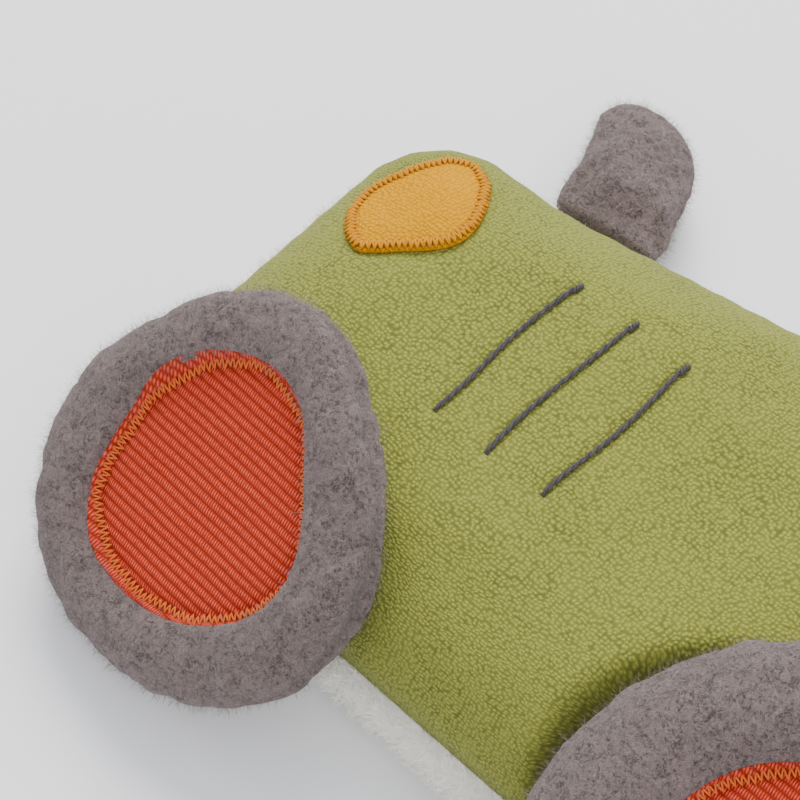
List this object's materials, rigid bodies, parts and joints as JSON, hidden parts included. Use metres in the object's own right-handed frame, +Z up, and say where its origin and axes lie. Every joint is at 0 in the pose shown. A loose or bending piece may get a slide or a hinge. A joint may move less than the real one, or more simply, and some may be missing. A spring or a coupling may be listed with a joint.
{
  "type": "hand puppet",
  "caption": "Soft tractor-shaped hand puppet with padded green front, cream plush back, a lined hand space open at the rear, stuffed flap wheels and a stuffed exhaust.",
  "frame": {"origin": "centre of the bounding box on the surface the puppet lies on", "axes": "+X from the bonnet towards the opening for the hand, +Y from the wheels up to the roof, +Z up from the surface through the puppet's thickness"},
  "size_m": [0.22, 0.2234, 0.0534],
  "materials": {
    "green_velour": "napped cotton velour, matt",
    "cream_plush": "short fluffy plush, matt",
    "wadding": "polyester fibre wadding, matt",
    "lining": "plain cotton weave, matt",
    "grey_fleece": "boiled wool-like fleece, matt",
    "orange_knit": "ribbed jersey, matt",
    "orange_thread": "polyester sewing thread, slight sheen",
    "yellow_velour": "napped velour, matt",
    "yellow_thread": "polyester sewing thread, slight sheen",
    "grey_thread": "stranded embroidery floss, matt",
    "label_tape": "satin label tape"
  },
  "bodies": {
    "cab_section": {"cab_front_panel": "green_velour", "cab_front_wadding": "wadding", "cab_front_lining": "lining", "cab_back_lining": "lining", "cab_back_wadding": "wadding", "cab_back_panel": "cream_plush", "front_hem": "green_velour", "back_hem": "cream_plush", "window_patch": "cream_plush", "window_stitching": "yellow_thread", "rear_wheel_tack": "grey_thread"},
    "bonnet_section": {"bonnet_front_panel": "green_velour", "bonnet_front_wadding": "wadding", "bonnet_front_lining": "lining", "bonnet_back_lining": "lining", "bonnet_back_wadding": "wadding", "bonnet_back_panel": "cream_plush", "headlight_patch": "yellow_velour", "headlight_stitching": "yellow_thread", "grille_line_1": "grey_thread", "grille_line_2": "grey_thread", "grille_line_3": "grey_thread", "front_wheel_tack": "grey_thread"},
    "front_wheel": {"front_wheel_face": "grey_fleece", "front_wheel_back": "grey_fleece", "front_wheel_filling": "wadding", "front_hub_patch": "orange_knit", "front_hub_stitching": "orange_thread"},
    "rear_wheel": {"rear_wheel_face": "grey_fleece", "rear_wheel_back": "grey_fleece", "rear_wheel_filling": "wadding", "rear_hub_patch": "orange_knit", "rear_hub_stitching": "orange_thread"},
    "exhaust": {"exhaust_front": "grey_fleece", "exhaust_back": "grey_fleece", "exhaust_filling": "wadding"},
    "care_label": {"care_label": "label_tape"}
  },
  "joints": [
    {"name": "bonnet_bend", "type": "hinge", "parent": "cab_section", "child": "bonnet_section", "pos_m": [-0.00199, -0.06984, 0.0175], "axis": [0, 1, 0], "range_deg": [-25, 25]},
    {"name": "front_wheel_flap", "type": "hinge", "parent": "bonnet_section", "child": "front_wheel", "pos_m": [-0.07339, -0.07094, 0.0151], "axis": [1, 0, 0], "range_deg": [0, 28]},
    {"name": "rear_wheel_flap", "type": "hinge", "parent": "cab_section", "child": "rear_wheel", "pos_m": [0.05701, -0.07094, 0.0151], "axis": [1, 0, 0], "range_deg": [0, 35]},
    {"name": "exhaust_bend", "type": "hinge", "parent": "bonnet_section", "child": "exhaust", "pos_m": [-0.06839, 0.02844, 0.012], "axis": [0.9945, 0.1045, 0], "range_deg": [-25, 60]},
    {"name": "label_flap", "type": "hinge", "parent": "cab_section", "child": "care_label", "pos_m": [0.01398, 0.07522, 0.014], "axis": [0.2198, 0.9755, 0], "range_deg": [-60, 60]}
  ]
}
